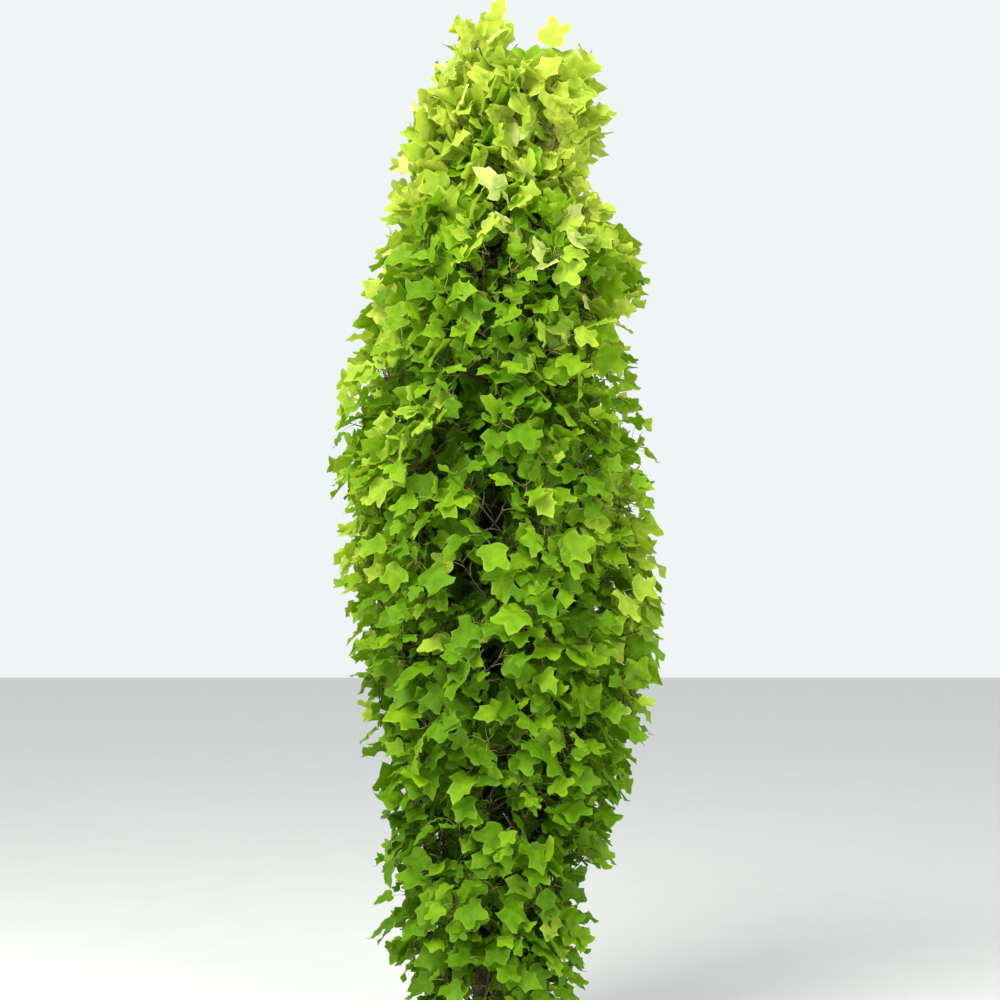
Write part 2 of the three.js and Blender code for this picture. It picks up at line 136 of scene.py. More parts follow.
# Boughs and the masses that they carry
BOUGH_AREA = 0.7
FIRST_BOUGH_TURN = 0.9
LOWEST_MASS = 0.4
HIGHEST_MASS = 3.56
MASS_REACH = 0.6
LONGEST_RISE = 0.72
RISE_SHARE = 0.5
BOUGH_TIP_DROP = 0.34
BOUGH_TIP_REACH = 0.4
BOUGH_BEND_ACROSS = 0.55
BEND_UP = 0.36  # a bough runs out first, and then up
BOUGH_RADIUS = 0.015
BOUGH_TO_TRUNK = 0.6
BOUGH_TIP_SHARE = 0.62
BOUGH_SIDES = 10
BOUGH_STEPS = 8  # a bough's, and again its stem's
COLLAR = 1.5  # a bough is this many times as thick where it leaves the trunk
COLLAR_FADE = 0.3  # the share of the extra that is left at its next ring
STEM_RISE = 0.3
STEM_TOP_REACH = 0.66
STEM_BEND = 0.45
STEM_TOP_RADIUS = 0.0035
STEM_ROOM = 0.014
TOP_MASS_MIDDLE = 3.83
CELL_STRETCH = Vector((1, 1, 0.56))
INSIDE_ROUNDS = 6

# Lesser boughs between them
LESSER_AREA = 0.42
LESSER_FIRST_TURN = 2.3
LESSER_RISE = 0.62
LESSER_FOOT_SHARE = 0.3  # a low one leaves the trunk at this share of its tip's height
LESSER_REACH = 0.62
LESSER_BEND_ACROSS = 0.6
LESSER_RADIUS = 0.009
LESSER_TO_TRUNK = 0.5
LESSER_SIDES = 8
LESSER_STEPS = 10
LESSER_FIRST_PLACE = 4  # the first of its points that twigs may leave

# Parts of the trunk that twigs may leave: heights, and how many places
LEADER_PART = (2.6, LEADER_TOP, 24)
LOW_PART = (0.17, 0.7, 12)  # only fine twigs

# Twigs to the frame's own sites, then finer twigs between them
SITE_AREA = 0.134
LOWEST_SITE = 0.23
HIGHEST_SITE = 3.86
SITE_DEPTHS = [0.84, 0.95, 1.0]
FINE_LAYERS = [  # the area for each twig, the first turn, the depths in turn, and the first seed
    (0.0132, 1.1, [1.0, 0.9, 1.03, 0.8, 0.97, 1.04, 0.85], 500),
    (0.0138, 0.4, [0.68, 0.5, 0.75, 0.6, 0.42], 5000),
]
LOWEST_FINE_SITE = 0.19
SITE_SHIFT = 0.05
SITE_SEEDS = 31  # how far apart the seeds of a layer's sites are
SWELL_SIZE = 0.3  # the crown swells and sinks by turns, over about this distance
SWELL_DEPTH = 0.13
TWIG_RISE = 0.9
FINE_RISE = 0.75
NEARNESS = 0.6  # how much a finer twig prefers the nearest wood to the right rise
SHORTEST_TWIG = 0.09
TOO_SHORT_MISS = 1
FOREIGN_MISS = 10  # what keeps a twig off the wood of another mass
TWIG_RADIUS = 0.0045
FINE_RADIUS = 0.0028
TWIG_TIP_RADIUS = 0.0016
TWIG_SIDES = 5
TWIG_STEPS = 5
TWIG_BEND = 0.12
TWIG_SAG = 0.08
TIP_SHARE = 0.8  # where a twig ends before it is fitted, as a share of its site's depth
AIM_ROUNDS = 3
AIM_LEAVES = 4
LONGEST_MOVE = 0.3

# Gaps in the front: across, up, half their width and height, and how deep they are open
TRUNK_SHOWS = 0.14
WOOD_SHOWS = 0.5
GAPS = [
    (0.070, 3.450, 0.024, 0.060, WOOD_SHOWS),
    (0.062, 3.160, 0.030, 0.055, TRUNK_SHOWS),
    (-0.030, 2.630, 0.035, 0.070, WOOD_SHOWS),
    (-0.140, 2.390, 0.050, 0.090, WOOD_SHOWS),
    (0.055, 2.130, 0.045, 0.110, TRUNK_SHOWS),
    (-0.051, 1.850, 0.045, 0.100, WOOD_SHOWS),
    (0.066, 1.510, 0.022, 0.150, TRUNK_SHOWS),
    (0.098, 1.190, 0.026, 0.080, TRUNK_SHOWS),
    (0.082, 0.955, 0.026, 0.105, TRUNK_SHOWS),
    (0.210, 0.890, 0.035, 0.060, WOOD_SHOWS),
    (-0.125, 0.820, 0.060, 0.055, WOOD_SHOWS),
    (0.010, 0.270, 0.040, 0.075, TRUNK_SHOWS),
]

# Spurs, which cover the twigs near the top that would show bare
SPUR_HEIGHT = 2.9
SPUR_LOOK = 0.2  # leaves this much lower may cover a twig too
SPUR_DEPTH = 0.5
SPUR_COVER = 0.035
SPUR_SPACING = 0.07
SPUR_OUT = 0.04
SPUR_UP = 0.03
SPUR_LEAVES = 4

# Leaves
LEAF_LENGTH = 0.108
LEAF_SIZES = (0.58, 1.25)
SIZE_LEAN = 1.1  # above one, most leaves are nearer the smaller size
TOP_VIGOUR = 1.3  # how many times as large the leaves are at the top
VIGOUR_STRETCH = (2.9, 0.8)  # from this height on, over this much
LEAF_SPACING = 0.027
LEAFY_SHARE = 0.72  # of a twig's length, from its tip down
LEAF_LEAN = 1.3  # above one, the leaves crowd together towards the tip
BEFORE_TIP = 0.001
FEWEST_LEAVES = 4
MOST_LEAVES = 8
LEAF_TRIES = 6
LEAF_SEEDS = 40  # how far apart the seeds of two twigs' leaves are
TRY_SEEDS = 1000003
STALK_LENGTHS = (0.045, 0.085)
STALK_AHEAD = 0.5
STALK_OUT = 0.35
STALK_RADIUS = 0.0011
STALK_FOOT = 1.4  # a stalk is this many times as thick at its foot
STALK_BEND = 0.4
STALK_STEPS = 3
STALK_SIDES = 3
YOUNG_SHARE = 0.55  # size of the leaf at a twig's tip
YOUNG_SIZES = (0.8, 1.2)
YOUNG_STALK = 0.5

# How a blade lies: how far away from the twig, ahead along it, outwards, aside and up
BLADE_AWAY = 0.9
BLADE_AHEAD = 0.3
BLADE_OUT = (0.1, 0.8)
BLADE_ASIDE = (-0.4, 0.4)
BLADE_UP = (-0.35, 0.35)
HANGS = (-0.5, 0.4)  # from the lower leaves, which hang, to the topmost, which stand up
HANG_STRETCH = (2.0, 1.8)
YOUNG_HANG = 0.6
FACE_OUT = (0.3, 1.1)
FACE_UP = (0.1, 1.1)
FACE_ASIDE = (-0.8, 0.8)
TWISTS = (-0.25, 0.25)

# Half of a blade: across, along, and where its side vein leaves the midrib
ROUNDED = [
    (0.120, -0.055, 0.04), (0.270, -0.045, 0.09), (0.420, 0.045, 0.14), (0.520, 0.190, 0.20),
    (0.480, 0.320, 0.26), (0.390, 0.390, 0.32), (0.365, 0.500, 0.38), (0.400, 0.640, 0.44),
    (0.420, 0.800, 0.50), (0.320, 0.920, 0.56), (0.150, 0.860, 0.62),
]
FOUR_POINTED = [
    (0.150, -0.040, 0.04), (0.320, -0.010, 0.09), (0.455, 0.080, 0.15), (0.555, 0.240, 0.21),
    (0.440, 0.310, 0.27), (0.345, 0.385, 0.34), (0.320, 0.500, 0.42), (0.370, 0.650, 0.50),
    (0.455, 0.845, 0.58), (0.310, 0.885, 0.65), (0.140, 0.860, 0.71),
]
FIVE_POINTED = [
    (0.140, -0.100, 0.04), (0.330, -0.085, 0.09), (0.430, 0.035, 0.15), (0.555, 0.225, 0.22),
    (0.425, 0.300, 0.29), (0.300, 0.385, 0.37), (0.300, 0.520, 0.46), (0.380, 0.690, 0.55),
    (0.240, 0.745, 0.64), (0.150, 0.860, 0.73), (0.065, 0.970, 0.84),
]
Blade = namedtuple("Blade", "half end width fold droop curl ripple")
BLADES = [
    Blade(ROUNDED, 0.69, 1.00, 0.20, 0.12, 0.25, 0.04),
    Blade(ROUNDED, 0.76, 1.06, 0.05, 0.25, 0.30, 0.06),
    Blade(FOUR_POINTED, 0.80, 0.94, 0.35, 0.10, 0.20, 0.05),
    Blade(FOUR_POINTED, 0.84, 1.02, 0.00, 0.20, 0.40, 0.07),
    Blade(FIVE_POINTED, 1.04, 1.00, 0.15, 0.30, 0.20, 0.06),
    Blade(FIVE_POINTED, 0.98, 0.90, 0.40, 0.15, 0.30, 0.05),
    Blade(ROUNDED, 0.76, 0.72, 0.70, 0.05, 0.05, 0.02),
]
YOUNG_BLADE = 6
LOBE_TIPS = ((-0.56, 0.22), (0.56, 0.22), (-0.45, 0.86), (0.45, 0.86))
MID_RING = 0.72  # where a blade's middle row of corners lies, from its midrib to its rim
DEEP_SHARE = 0.72  # sprays that lie deeper than this share of the reach have plainer blades
RIPPLES_ALONG = 13
RIPPLES_ACROSS = 6
RIPPLE_GROWTH = 3  # how fast the ripples grow from the midrib to the rim

# Buds: how far past the twig's tip, and the radius there
BUD = [(-0.002, 0.0016), (0.003, 0.0029), (0.007, 0.0024), (0.011, 0.0005)]
BUD_SIDES = 4

# Colours
LEAF_COLOURS = {  # from dark to pale
    "deep": (0.070, 0.172, 0.002),
    "mid": (0.105, 0.245, 0.003),
    "fresh": (0.170, 0.332, 0.006),
    "bright": (0.310, 0.458, 0.030),
    "lime": (0.420, 0.530, 0.053),
    # pale: a painted highlight, only for a few outer leaves near the top
    "pale": (0.560, 0.650, 0.170),
}
BARK_COLOURS = {  # in the cracks, on the ridges, and in pale patches
    "trunk_bark": ((0.06, 0.045, 0.03), (0.17, 0.13, 0.09), (0.3, 0.27, 0.22)),
    "bough_bark": ((0.04, 0.026, 0.012), (0.11, 0.072, 0.035), (0.17, 0.13, 0.075)),
    "twig_bark": ((0.03, 0.018, 0.005), (0.085, 0.054, 0.016), (0.12, 0.09, 0.034)),
}
SKIN_COLOURS = {  # plain, and in redder patches
    "stalk_skin": ((0.3, 0.38, 0.06), (0.32, 0.26, 0.07)),
    "bud_skin": ((0.14, 0.2, 0.05), (0.2, 0.1, 0.06)),
}
FLOOR_COLOURS = ((0.62, 0.62, 0.61), (0.66, 0.66, 0.65))

# How light a spray is, as a step of the list of leaf colours, at each height
# Lighter towards the top: partly the young leaves' own lime colour, partly painted light from above.
TONES = [
    (0.3, 1.4), (0.9, 0.85), (1.2, 1.1), (1.9, 1.65), (2.4, 1.3),
    (2.9, 1.85), (3.3, 2.95), (3.7, 3.9), (4.1, 3.95),
]
OUTER_DEPTH = 0.97  # sprays that reach further out than this get no painted shade, and are as light as can be
DEPTH_SHADE_TONE = 1.1  # painted shade: how much darker a spray gets by each fifth of the reach that it lies deeper
FIFTHS = 5
MOST_FIFTHS = 1.5
SIDE_LIGHT_TONE = 1.25  # painted light: how much lighter the sprays of the crown's two sides are
SIDE_LIGHT_STRETCH = (1, 1)
SPRAY_TONE = 1.15
LEAF_TONE = 0.75
YOUNG_TONE = 0.25
YOUNG_PLACES = 2
HIGHLIGHT_LEAF_CHANCE = 0.05  # painted highlight: how many of the outer leaves near the top are quite pale
HIGHLIGHT_LEAF_HEIGHTS = (2.7, 3.2)
HIGHLIGHT_LEAF_DEPTH = 0.88
LIME_HEIGHT = 2.5  # the lime leaves are all above it
COLOUR_SEED = 70000

# Leaf material. Soft steps run from one place and its value to another.
DARK_SHADE = (0.78, 0.84, 0.9)
LIGHT_SHADE = (1.25, 1.14, 1.2)
VEIN_SHADE = (1.5, 1.3, 1.6)
VEIN_LIFT = (0.03, 0.03, 0.02)
GLOW_SHADE = (1.3, 1.3, 0.8)
MIDRIB = ((0.004, 1), (0.014, 0))
VEIN_SLANT = 0.75
VEIN_SPACING = 0.15
SIDE_VEIN = ((0.0, 0.75), (0.05, 0))
SIDE_VEIN_FADE = ((0.3, 1), (0.5, 0.2))
MOTTLE_SCALE = 26.0
MOTTLE = ((0.32, 0), (0.68, 1))
VEIN_SHOWS = 0.5
# painted highlight along the blade's rim
RIM_HIGHLIGHT_SHOWS = 0.6
GRAIN_SCALE = 140.0
GRAIN_HEIGHT = 0.35
LEAF_BUMP = (0.0006, 0.7)
LEAF_SHINE = 0.12
LEAF_GLOW = 0.34  # the share of a leaf's light that comes through the blade

# Bark material
BARK_STRETCH = 0.16
BARK_SCALE = 60.0
BARK_STREAKS = ((0.35, 0), (0.62, 1))
PATCH_SCALE = 9.0
PATCHES = ((0.5, 0), (0.75, 0.7))
PORE_STRETCH = 2
PORE_SCALE = 90.0
PORES = ((0.10, 1), (0.2, 0))
PORES_IN_PATCHES = ((0.45, 0), (0.6, 1))
PORE_SHOWS = 0.6
PORE_HEIGHT = 0.3
BARK_BUMP = 0.0012

# Stalk and bud material
SKIN_SCALE = 30.0
SKIN_PATCHES = ((0.4, 0), (0.65, 1))
SKIN_GRAIN_SCALE = 400.0
SKIN_BUMP = 0.0002

# Camera and light
PIXEL = 0.0039
PHOTO_SIZE = 1000
PHOTO_TRUNK_X = 478
PHOTO_GROUND_Y = 1055
CAMERA_HEIGHT = 1.84
CAMERA_DISTANCE = 7.5
EYE_X = (PHOTO_SIZE / 2 - PHOTO_TRUNK_X) * PIXEL
EYE = Vector((EYE_X, -CAMERA_DISTANCE, CAMERA_HEIGHT))
SENSOR = 36
FLOOR_SIZE = 60
SKY_COLOUR = (0.94, 0.99, 1.0, 1)
SKY_STRENGTH = 0.92
LIGHTS = {  # place, aim, size, power and tint
    "key_light": ((-3.5, -5.0, 7.5), (0, 0, 2.2), 5.0, 1050, (1.0, 0.985, 0.90)),
    "fill_light": ((4.0, -6.0, 2.2), (0, 0, 2.0), 4.0, 330, (0.98, 1.0, 0.96)),
}

# Dice
DICE_SPREAD = 2654435761
DICE_FACTOR = 1664525
DICE_STEP = 1013904223
DICE_SIZE = 2**32


def dice(seed):
    """Random numbers from 0 to 1 that are the same on every run."""
    state = (seed + 1) * DICE_SPREAD % DICE_SIZE

    def roll(low=0.0, high=1.0):
        nonlocal state
        state = (state * DICE_FACTOR + DICE_STEP) % DICE_SIZE
        return low + (high - low) * state / DICE_SIZE

    return roll


def mix(a, b, share):
    return a + (b - a) * share


def clamp(value, low, high):
    return min(max(value, low), high)


def share_along(value, start, stretch):
    """How far a value has come along a stretch, from 0 at its start to 1 at its end."""
    return clamp((value - start) / stretch, 0, 1)


def at_height(z, rows, column=1):
    """What a column of a table says at a height, between its rows."""
    return float(np.interp(z, [row[0] for row in rows], [row[column] for row in rows]))


def outwards(turn):
    return Vector((cos(turn), sin(turn), 0))


def turn_of(p):
    """The turn of a point about the crown's middle line."""
    return atan2(p.y, p.x - CROWN_X)


def trunk_radius(z):
    """The trunk's radius without its flare, from its foot to the leader's tip."""
    if z > TRUNK_TOP:
        return mix(TOP_RADIUS, LEADER_TIP_RADIUS, (z - TRUNK_TOP) / (LEADER_TOP - TRUNK_TOP))
    share = max(1 - z / TRUNK_TOP, 0)
    return TOP_RADIUS + (FOOT_RADIUS - TOP_RADIUS) * share**TRUNK_TAPER


def flared_radius(z):
    """The trunk's radius with that part of its flare that lies between the lobes too."""
    return trunk_radius(z) + FLARE_REACH * FLARE_BETWEEN * exp(-max(z, 0) / FLARE_HEIGHT)


def trunk_middle(z):
    x = BOW_REACH * (1 - (1 - z / BOW_HEIGHT) ** 2)
    return Vector((x, SWAY_REACH * sin(z / SWAY_HEIGHT), z))


def crown_reach(z, turn):
    """How far the crown reaches at a height, in the direction of a turn about its middle line."""
    left = at_height(z, CROWN_OUTLINE, 1)
    right = at_height(z, CROWN_OUTLINE, 2)
    return mix(left, right, (1 + cos(turn)) / 2)


def crown_point(z, turn, share):
    return Vector((CROWN_X, 0, z)) + outwards(turn) * crown_reach(z, turn) * share


def spiral(low, high, area, first_turn):
    """Heights from low to high, each with a turn, so that each has the same area of the crown."""
    found = []
    z = low
    while z < high:
        found.append((z, first_turn + len(found) * GOLDEN_TURN))
        z += area / (2 * pi * crown_reach(z, pi / 2))
    return found


def bezier(start, bend, end, steps):
    shares = [k / steps for k in range(steps + 1)]
    return [start * (1 - s) ** 2 + bend * 2 * s * (1 - s) + end * s * s for s in shares]


def borders_of(middle, middles):
    """The borders of a mass's own space, halfway to the middle of each other mass."""
    borders = []
    for other in middles:
        if other is middle:
            continue
        inward = ((middle - other) * CELL_STRETCH).normalized()
        borders.append((inward, inward.dot((middle + other) / 2)))
    return borders


def lies_inside(point, borders):
    return all(inward.dot(point) > offset for inward, offset in borders)


def move_inside(point, borders):
    """A point moved the least way that gives a stem room inside the borders."""
    at = point.copy()
    for _ in range(INSIDE_ROUNDS):
        for inward, offset in borders:
            missing = STEM_ROOM - (inward.dot(at) - offset)
            if missing > 0:
                at += inward * missing
    return at


class Limb:
    """A tapering limb: its middle line from foot to tip, and its radius at each point."""

    def __init__(self, points, foot_radius, tip_radius, mass=None):
        self.points = points
        self.radii = list(np.linspace(foot_radius, tip_radius, len(points)))
        self.mass = mass

    def heading(self, k):
        start = max(k - 1, 0)
        end = min(k + 1, len(self.points) - 1)
        return (self.points[end] - self.points[start]).normalized()


def low_bend(foot, tip, across):
    bend = foot.lerp(tip, across)
    bend.z = mix(foot.z, tip.z, BEND_UP)
    return bend


def bough_limb(z, turn, borders, mass):
    """A bough from the middle of the trunk to its tip, and on into the stem of its mass."""
    rise = min(LONGEST_RISE, RISE_SHARE * z)
    foot = trunk_middle(z - rise)
    tip = move_inside(crown_point(z - BOUGH_TIP_DROP * rise, turn, BOUGH_TIP_REACH), borders)
    bend = low_bend(foot, tip, BOUGH_BEND_ACROSS)
    heading = (tip - bend).normalized()
    top = move_inside(crown_point(z + STEM_RISE, turn, STEM_TOP_REACH), borders)
    stem_bend = move_inside(tip + heading * STEM_BEND * (top - tip).length, borders)
    radius = min(BOUGH_RADIUS, BOUGH_TO_TRUNK * trunk_radius(foot.z))
    bough = Limb(bezier(foot, bend, tip, BOUGH_STEPS), radius, BOUGH_TIP_SHARE * radius)
    stem = Limb(bezier(tip, stem_bend, top, BOUGH_STEPS), BOUGH_TIP_SHARE * radius, STEM_TOP_RADIUS)
    whole = Limb(bough.points + stem.points[1:], radius, STEM_TOP_RADIUS, mass)
    whole.radii = bough.radii + stem.radii[1:]
    return whole


def lesser_bough(z, turn):
    """A thin bough that runs steeply up between the others."""
    foot = trunk_middle(max(z - LESSER_RISE, LESSER_FOOT_SHARE * z))
    tip = crown_point(z, turn, LESSER_REACH)
    bend = low_bend(foot, tip, LESSER_BEND_ACROSS)
    radius = min(LESSER_RADIUS, LESSER_TO_TRUNK * trunk_radius(foot.z))
    return Limb(bezier(foot, bend, tip, LESSER_STEPS), radius, TWIG_TIP_RADIUS)


def trunk_part(low, high, count, mass=None):
    """A part of the trunk, as a limb that twigs may leave."""
    points = [trunk_middle(z) for z in np.linspace(low, high, count)]
    return Limb(points, trunk_radius(low), trunk_radius(high), mass)


class Wood:
    """Places on all limbs so far from which a new twig may leave."""

    def __init__(self):
        self.places = []
        self.masses = []
        self.array = None

    def add(self, limb, first=2):
        for point in limb.points[first:]:
            self.places.append(tuple(point))
            self.masses.append(limb.mass)
        self.array = None

    def best_foot(self, tip, rise, nearness, mass=None):
        """The place whose twig, rising as it runs out, ends nearest to the tip."""
        if self.array is None:
            self.array = np.array(self.places)
        gap = np.array(tip) - self.array
        out = np.hypot(gap[:, 0], gap[:, 1])
        far = np.sqrt((gap**2).sum(axis=1))
        miss = np.abs(gap[:, 2] - rise * out) + nearness * far
        miss[far < SHORTEST_TWIG] += TOO_SHORT_MISS
        if mass is not None:
            foreign = [other != mass for other in self.masses]
            miss[foreign] += FOREIGN_MISS
        return Vector(self.places[int(miss.argmin())])


class Leaf(namedtuple("Leaf", "root base across along facing length blade twist")):
    """One leaf: where its stalk leaves the twig, where its blade starts, and how the blade lies."""

    def middle(self):
        return self.base + self.along * 0.5 * self.length

    def corners(self):
        """The places of the blade that reach furthest."""
        places = (*LOBE_TIPS, (0, BLADES[self.blade].end), (0, 0))
        return [self.base + (self.across * x + self.along * y) * self.length for x, y in places]


def side_depth(z, turn):
    """How far the foliage reaches in a direction, as a share of the crown's reach."""
    return mix(1, at_height(z, SIDE_DEPTHS), sin(turn) ** 2)


def reach_taken(points):
    """The largest share of the foliage's reach that any of the points takes up."""
    taken = []
    for p in points:
        turn = turn_of(p)
        reach = crown_reach(p.z, turn) * side_depth(p.z, turn)
        taken.append(hypot(p.x - CROWN_X, p.y) / reach)
    return max(taken)


def low_spread(z):
    """How much further a spray reaches because it is near the ground."""
    return LOW_SPREAD * clamp((LOW_SPREAD_TOP - z) / LOW_SPREAD_STRETCH, 0, 1)


def keeps_to_crown(points, twig):
    """Whether all points lie within the crown's outline and below the twig's ceiling."""
    lowest = min(p.z for p in points)
    if lowest < CROWN_FOOT or max(p.z for p in points) > twig.ceiling:
        return False
    return reach_taken(points) < twig.reach + low_spread(lowest)


def seen_at(p):
    """Where the viewer sees a point on the upright plane through the trunk's foot."""
    return EYE + (p - EYE) * CAMERA_DISTANCE / (p.y + CAMERA_DISTANCE)


def lies_in_gap(points):
    """Whether any of the points, on the crown's front side, covers one of the gaps."""
    for p in points:
        if p.y > 0:
            continue
        seen = seen_at(p)
        for x, z, half_width, half_height, floor in GAPS:
            covers = hypot((seen.x - x) / half_width, (seen.z - z) / half_height) < 1
            if covers and reach_taken([p]) > floor:
                return True
    return False


def leaf_dice(seed, k, attempt=0):
    """The dice for one try at one leaf of a twig."""
    return dice(seed * LEAF_SEEDS + k + TRY_SEEDS * attempt)


def leaf_root(twig, k):
    """Where a leaf's stalk leaves its twig, and the twig's heading there."""
    steps = len(twig.points) - 1
    at = clamp((1 - LEAFY_SHARE * (k / MOST_LEAVES) ** LEAF_LEAN) * steps, 0, steps - BEFORE_TIP)
    below = int(at)
    return twig.points[below].lerp(twig.points[below + 1], at % 1), twig.heading(below + 1)


def leaf_at(twig, k, roll):
    """The leaf at one of a twig's places, counted from its tip, where the leaves crowd together."""
    root, heading = leaf_root(twig, k)
    out = twig.out
    side = UP.cross(out)
    turn = twig.turn + k * GOLDEN_TURN
    radial = side * cos(turn) + heading.cross(side).normalized() * sin(turn)
    young = k == 0 and twig.most > 1
    size = YOUNG_SHARE * roll(*YOUNG_SIZES) if young else mix(*LEAF_SIZES, roll() ** SIZE_LEAN)
    stalk = (heading * STALK_AHEAD + radial + out * STALK_OUT).normalized()
    base = root + stalk * roll(*STALK_LENGTHS) * (YOUNG_STALK if young else 1)
    hang = YOUNG_HANG if young else mix(*HANGS, share_along(root.z, *HANG_STRETCH))
    along = radial * BLADE_AWAY + heading * BLADE_AHEAD + out * roll(*BLADE_OUT)
    along += side * roll(*BLADE_ASIDE) + UP * (hang + roll(*BLADE_UP))
    along.normalize()
    facing = out * roll(*FACE_OUT) + UP * roll(*FACE_UP) + side * roll(*FACE_ASIDE)
    facing -= along * facing.dot(along)
    facing.normalize()
    blade = YOUNG_BLADE if young else int(roll(0, YOUNG_BLADE))
    length = LEAF_LENGTH * size * twig.vigour
    return Leaf(root, base, along.cross(facing), along, facing, length, blade, roll(*TWISTS))


def leaves_of(twig, seed):
    """The leaves of a twig that find a place inside the crown, and leave its gaps open."""
    length = sum((b - a).length for a, b in zip(twig.points, twig.points[1:]))
    count = min(max(round(LEAFY_SHARE * length / LEAF_SPACING), FEWEST_LEAVES), twig.most)
    found = []
    for k in range(count):
        for attempt in range(LEAF_TRIES):
            leaf = leaf_at(twig, k, leaf_dice(seed, k, attempt))
            corners = leaf.corners()
            if keeps_to_crown(corners, twig) and not lies_in_gap([leaf.middle()] + corners):
                found.append((k, leaf))
                break
    return found


def twig_between(foot, tip, radius, turn, seed):
    """A twig that bends outwards: its wood, and how large, many, high and far out its leaves may be."""
    bend = foot.lerp(tip, 0.5) + outwards(turn) * TWIG_BEND * (tip - foot).length
    bend.z -= TWIG_SAG * (tip - foot).length
    twig = Limb(bezier(foot, bend, tip, TWIG_STEPS), radius, TWIG_TIP_RADIUS)
    twig.out = outwards(turn)
    twig.turn = dice(seed)(0, 2 * pi)
    twig.vigour = mix(1, TOP_VIGOUR, share_along(tip.z, *VIGOUR_STRETCH))
    twig.ceiling = SHOULDER_HEIGHT
    twig.reach = MOST_REACH
    twig.most = MOST_LEAVES
    return twig


def twig_to(z, turn, depth, wood, rise, nearness, radius, seed, mass=None):
    """A twig whose furthest leaf just reaches its site, a share of the way to the crown's outline."""
    tip = crown_point(z, turn, TIP_SHARE * depth * side_depth(z, turn))
    foot = wood.best_foot(tip, rise, nearness, mass)
    twig = twig_between(foot, tip, radius, turn, seed)
    for _ in range(AIM_ROUNDS):
        corners = []
        for k in range(1, AIM_LEAVES + 1):
            corners += leaf_at(twig, k, leaf_dice(seed, k)).corners()
        short = clamp(depth - reach_taken(corners), -LONGEST_MOVE, LONGEST_MOVE)
        tip += twig.out * short * crown_reach(tip.z, turn)
        twig = twig_between(foot, tip, radius, turn, seed)
    twig.depth = depth
    return twig


def top_shoot(x, y, top, vigour, most, wood, seed):
    """One of the shoots that rise above the crown's shoulders, whose topmost leaf tip is at its top."""
    foot = wood.best_foot(Vector((x, y, top - SHOOT_FOOT_DROP)), SHOOT_RISE, SHOOT_NEARNESS)
    tip = Vector((x, y, top - SHOOT_TIP_DROP))
    for _ in range(SHOOT_ROUNDS):
        twig = twig_between(foot, tip, FINE_RADIUS, -pi / 2, seed)
        twig.depth = 1
        twig.vigour = vigour
        twig.most = most
        twig.ceiling = top + SHOOT_CEILING
        if most == 1:
            twig.turn = LONE_LEAF_TURN
            twig.reach = LONE_LEAF_REACH
        highest = max(p.z for _, leaf in leaves_of(twig, seed) for p in leaf.corners())
        tip.z = min(tip.z + top - highest, top - SHOOT_ROOM)
    return twig


def spray_tone(twig, roll):
    """How light a spray is: lighter towards the top, partly by its young leaves' own colour and partly as
    painted light; lighter at the outline and on the crown's two sides, as painted light; darker deeper
    in, as painted shade.
    """
    z = twig.points[-1].z
    # lighter towards the top: partly the young leaves' own lime colour, partly painted light from above
    tone = at_height(z, TONES)
    # painted shade: sprays that lie deeper in the crown are darker
    tone -= DEPTH_SHADE_TONE * clamp((OUTER_DEPTH - twig.depth) * FIFTHS, 0, MOST_FIFTHS)
    # painted light: the sprays of the crown's two sides are lighter
    tone += SIDE_LIGHT_TONE * twig.out.x**2 * share_along(z, *SIDE_LIGHT_STRETCH)
    return tone + SPRAY_TONE * (roll() + roll() - 1)


def leaf_colour(twig, tone, place, roll):
    """A leaf's colour, which differs from its spray's and is lighter near the tip. A few are pale, as a
    painted highlight.
    """
    z = twig.points[-1].z
    low, high = HIGHLIGHT_LEAF_HEIGHTS
    chance = HIGHLIGHT_LEAF_CHANCE * share_along(z, low, high - low)
    step = tone + roll(-LEAF_TONE, LEAF_TONE) + YOUNG_TONE * (YOUNG_PLACES - place) / YOUNG_PLACES
    *names, pale = LEAF_COLOURS
    # painted highlight: a few outer leaves near the top are pale
    if twig.depth > HIGHLIGHT_LEAF_DEPTH and roll() < chance:
        return pale
    if z < LIME_HEIGHT:
        names.remove("lime")
    return names[int(clamp(round(step), 0, len(names) - 1))]


# Mesh making

def put_in_scene(name, data):
    thing = bpy.data.objects.new(name, data)
    bpy.context.collection.objects.link(thing)
    return thing


def deselect_all():
    bpy.ops.object.select_all(action="DESELECT")


def activate(piece):
    deselect_all()
    piece.select_set(True)
    bpy.context.view_layer.objects.active = piece


def start_edit(piece, action="SELECT"):
    """Opens a piece in edit mode, with all or nothing of it selected."""
    activate(piece)
    bpy.ops.object.mode_set(mode="EDIT")
    bpy.ops.mesh.select_all(action=action)


def end_edit():
    bpy.ops.object.mode_set(mode="OBJECT")


def rename(piece, name):
    piece.name = name
    piece.data.name = name


def extruded_limb(name, points, radii, sides):
    """A ring of corners at the foot, extruded and resized from point to point."""
    deselect_all()
    heading = (points[-1] - points[0]).normalized()
    turned = heading.to_track_quat("Z", "Y").to_euler()
    bpy.ops.mesh.primitive_circle_add(
        vertices=sides, radius=radii[0], fill_type="NGON", location=points[0], rotation=turned
    )
    limb = bpy.context.object
    rename(limb, name)
    start_edit(limb)
    for k in range(1, len(points)):
        bpy.ops.mesh.extrude_region_move(TRANSFORM_OT_translate={"value": points[k] - points[k - 1]})
        ratio = radii[k] / radii[k - 1]
        bpy.ops.transform.resize(value=(ratio, ratio, ratio), center_override=points[k])
    bpy.ops.mesh.select_all(action="SELECT")
    bpy.ops.mesh.normals_make_consistent(inside=False)
    end_edit()
    bpy.ops.object.transform_apply(location=True, rotation=True, scale=True)
    return limb


